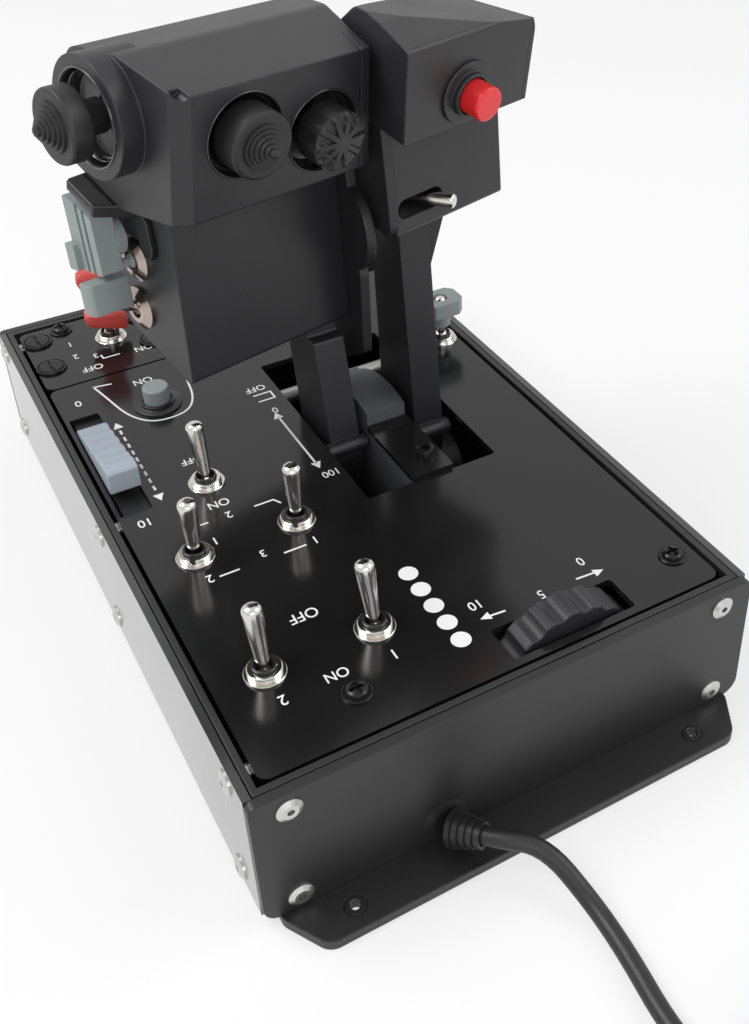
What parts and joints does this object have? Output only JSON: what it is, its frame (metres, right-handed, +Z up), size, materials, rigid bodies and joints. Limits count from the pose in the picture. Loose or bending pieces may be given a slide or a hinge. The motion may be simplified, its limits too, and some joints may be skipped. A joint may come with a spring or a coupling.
{
  "type": "throttle quadrant",
  "caption": "Flat console box with two hinged throttle levers with switch-laden grips, panel toggles, a slider, a push button, a friction wheel and a front cable.",
  "frame": {"origin": "centre of the four mounting holes, on the underside of the base plate", "axes": "+X to the operator's right, +Y forward (the cable side), +Z up"},
  "size_m": [0.1482, 0.4491, 0.1772],
  "materials": {
    "black_metal": "satin powder coat",
    "panel_black": "semi-gloss paint",
    "nickel": "polished nickel plate",
    "rivet_steel": "dull zinc",
    "dark_steel": "plain",
    "black_screw": "black oxide",
    "grip_plastic": "fine satin texture",
    "gate_grey": "textured",
    "grey_plastic": "matte",
    "blue_grey": "matte",
    "red_plastic": "gloss",
    "soft_red": "satin",
    "board": "solder mask",
    "cable_rubber": "matt",
    "black_plastic": "satin"
  },
  "bodies": {
    "chassis": {"base_plate": "black_metal", "chassis_frame": "black_metal", "side_plate_left": "black_metal", "side_plate_right": "black_metal", "front_plate": "black_metal", "rear_plate": "black_metal", "rivets": "rivet_steel", "main_panel": "panel_black", "aux_panel": "panel_black", "panel_fasteners": "black_screw", "gate_tongue": "black_metal", "gate_guide": "gate_grey", "pivot_shaft": "dark_steel", "bearing_blocks": "dark_steel", "circuit_board": "board", "toggle_housings": "black_plastic", "toggle_nuts": "nickel", "push_button_ring": "black_plastic", "slider_track": "black_plastic", "friction_axle": "dark_steel", "cable_boot": "cable_rubber", "cable": "cable_rubber", "cable_coil": "cable_rubber", "usb_plug": "black_plastic"},
    "left_lever": {"left_arm": "black_metal", "left_grip_body": "grip_plastic", "left_grip_side_plate": "grip_plastic", "left_grip_head": "grip_plastic", "left_head_cap": "grip_plastic", "red_button_bezel": "black_plastic"},
    "right_lever": {"right_arm": "black_metal", "right_grip_body": "grip_plastic", "right_grip_side_plate": "grip_plastic", "right_grip_head": "grip_plastic", "right_head_cap": "grip_plastic", "hat_bases": "black_plastic", "grip_switch_nuts": "nickel", "switch_shroud": "grip_plastic"},
    "red_button": {"red_button": "red_plastic"},
    "pinky_toggle": {"pinky_toggle": "nickel"},
    "slew_gimbal": {"slew_gimbal": "dark_steel"},
    "slew_hat": {"slew_hat": "black_plastic"},
    "star_gimbal": {"star_gimbal": "dark_steel"},
    "star_hat": {"star_hat": "black_plastic"},
    "mic_gimbal": {"mic_gimbal": "dark_steel"},
    "mic_hat": {"mic_hat": "black_plastic"},
    "upper_grey_switch": {"upper_grey_switch": "grey_plastic"},
    "lower_grey_switch": {"lower_grey_switch": "grey_plastic"},
    "apu_toggle": {"apu_toggle": "nickel"},
    "eng_toggle_right": {"eng_toggle_right": "nickel"},
    "eng_toggle_left": {"eng_toggle_left": "nickel"},
    "fuel_toggle_right": {"fuel_toggle_right": "nickel"},
    "fuel_toggle_left": {"fuel_toggle_left": "nickel"},
    "red_toggle": {"red_toggle": "nickel", "red_toggle_cap": "soft_red"},
    "flap_toggle": {"flap_toggle": "nickel", "flap_cap": "grey_plastic"},
    "push_button": {"push_button": "grey_plastic"},
    "slider_knob": {"slider_knob": "blue_grey"},
    "friction_wheel": {"friction_wheel": "black_plastic"}
  },
  "joints": [
    {"name": "left_throttle", "type": "hinge", "parent": "chassis", "child": "left_lever", "pos_m": [-0.0355, -0.0075, 0.014], "axis": [-1, 0, 0], "range_deg": [-32, 26]},
    {"name": "right_throttle", "type": "hinge", "parent": "chassis", "child": "right_lever", "pos_m": [-0.0075, -0.0075, 0.014], "axis": [-1, 0, 0], "range_deg": [-24, 34]},
    {"name": "apu_toggle_tilt", "type": "hinge", "parent": "chassis", "child": "apu_toggle", "pos_m": [0.0389, 0.0022, 0.0462], "axis": [-1, 0, 0], "range_deg": [0, 26]},
    {"name": "eng_toggle_right_tilt", "type": "hinge", "parent": "chassis", "child": "eng_toggle_right", "pos_m": [0.0533, 0.0322, 0.0462], "axis": [-1, 0, 0], "range_deg": [-13, 13]},
    {"name": "eng_toggle_left_tilt", "type": "hinge", "parent": "chassis", "child": "eng_toggle_left", "pos_m": [0.0226, 0.0322, 0.0462], "axis": [-1, 0, 0], "range_deg": [-13, 13]},
    {"name": "fuel_toggle_right_tilt", "type": "hinge", "parent": "chassis", "child": "fuel_toggle_right", "pos_m": [0.0533, 0.0822, 0.0462], "axis": [-1, 0, 0], "range_deg": [0, 26]},
    {"name": "fuel_toggle_left_tilt", "type": "hinge", "parent": "chassis", "child": "fuel_toggle_left", "pos_m": [0.0226, 0.0822, 0.0462], "axis": [-1, 0, 0], "range_deg": [0, 26]},
    {"name": "red_toggle_tilt", "type": "hinge", "parent": "chassis", "child": "red_toggle", "pos_m": [0.0387, -0.095, 0.0462], "axis": [-1, 0, 0], "range_deg": [-13, 13]},
    {"name": "flap_toggle_tilt", "type": "hinge", "parent": "chassis", "child": "flap_toggle", "pos_m": [-0.0618, -0.0328, 0.0462], "axis": [-1, 0, 0], "range_deg": [-13, 13]},
    {"name": "push_button_press", "type": "slide", "parent": "chassis", "child": "push_button", "axis": [0, 0, -1], "range_m": [0, 0.0025], "stiffness_N_per_m": 400},
    {"name": "slider_slide", "type": "slide", "parent": "chassis", "child": "slider_knob", "axis": [0, 1, 0], "range_m": [-0.008, 0.008]},
    {"name": "friction_wheel_turn", "type": "hinge", "parent": "chassis", "child": "friction_wheel", "pos_m": [-0.0215, 0.1045, 0.0295], "axis": [0, 1, 0], "range_deg": [-140, 140]},
    {"name": "slew_tilt_up", "type": "hinge", "parent": "right_lever", "child": "slew_gimbal", "pos_m": [0.02014, 0.01173, 0.15753], "axis": [0.9659, 0.2563, 0.036], "range_deg": [-8, 8], "stiffness_Nm_per_rad": 0.02},
    {"name": "slew_tilt_side", "type": "hinge", "parent": "slew_gimbal", "child": "slew_hat", "pos_m": [0.02014, 0.01173, 0.15753], "axis": [0.07, -0.1249, -0.9897], "range_deg": [-8, 8], "stiffness_Nm_per_rad": 0.02},
    {"name": "star_tilt_up", "type": "hinge", "parent": "right_lever", "child": "star_gimbal", "pos_m": [-0.00361, 0.00462, 0.15107], "axis": [0.9659, 0.2563, 0.036], "range_deg": [-8, 8], "stiffness_Nm_per_rad": 0.02},
    {"name": "star_tilt_side", "type": "hinge", "parent": "star_gimbal", "child": "star_hat", "pos_m": [-0.00361, 0.00462, 0.15107], "axis": [0.07, -0.1249, -0.9897], "range_deg": [-8, 8], "stiffness_Nm_per_rad": 0.02},
    {"name": "mic_tilt_up", "type": "hinge", "parent": "right_lever", "child": "mic_gimbal", "pos_m": [0.04697, -0.00708, 0.16048], "axis": [-0.2588, 0.9565, 0.1344], "range_deg": [-8, 8], "stiffness_Nm_per_rad": 0.02},
    {"name": "mic_tilt_side", "type": "hinge", "parent": "mic_gimbal", "child": "mic_hat", "pos_m": [0.04697, -0.00708, 0.16048], "axis": [0, -0.1392, 0.9903], "range_deg": [-8, 8], "stiffness_Nm_per_rad": 0.02},
    {"name": "upper_grey_switch_tilt", "type": "hinge", "parent": "right_lever", "child": "upper_grey_switch", "pos_m": [0.04303, -0.01724, 0.11361], "axis": [0, -0.1392, 0.9903], "range_deg": [-6, 6]},
    {"name": "lower_grey_switch_tilt", "type": "hinge", "parent": "right_lever", "child": "lower_grey_switch", "pos_m": [0.04381, -0.01795, 0.09786], "axis": [0, -0.1392, 0.9903], "range_deg": [-6, 6]},
    {"name": "red_button_press", "type": "slide", "parent": "left_lever", "child": "red_button", "axis": [0.2556, -0.954, 0.1564], "range_m": [0, 0.003], "stiffness_N_per_m": 400},
    {"name": "pinky_toggle_turn", "type": "hinge", "parent": "left_lever", "child": "pinky_toggle", "pos_m": [-0.03227, -0.00218, 0.121], "axis": [0, 0, -1], "range_deg": [0, 54]}
  ]
}
